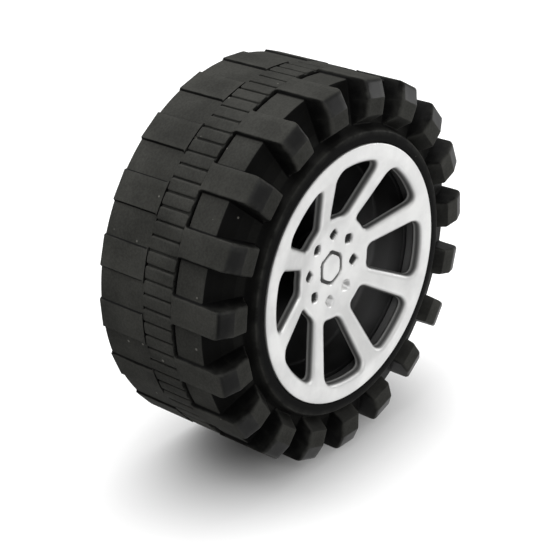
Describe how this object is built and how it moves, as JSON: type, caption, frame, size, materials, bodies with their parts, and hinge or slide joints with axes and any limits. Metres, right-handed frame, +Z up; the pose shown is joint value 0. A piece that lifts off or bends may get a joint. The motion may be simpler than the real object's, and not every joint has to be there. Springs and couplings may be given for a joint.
{
  "type": "robot car wheel",
  "caption": "Small push-on robot car wheel: black rubber tyre with side lugs on a plastic core, bright dished spoke cap on the outer face and a round axle bore at the back.",
  "frame": {"origin": "centre of the wheel: on the axle's axis, in the middle plane of the tread's centre band", "axes": "the wheel turns about +Y, which points out of the axle bore; the bright face looks along -Y; +Z is up with one lug straight down"},
  "size_m": [0.048, 0.0192, 0.0478],
  "materials": {
    "tyre_rubber": "matte moulded rubber",
    "core_plastic": "black moulded plastic",
    "cap_plating": "satin bright plating on plastic"
  },
  "bodies": {
    "root": {"tyre": "tyre_rubber", "wheel_core": "core_plastic", "spoke_cap": "cap_plating"}
  },
  "joints": []
}
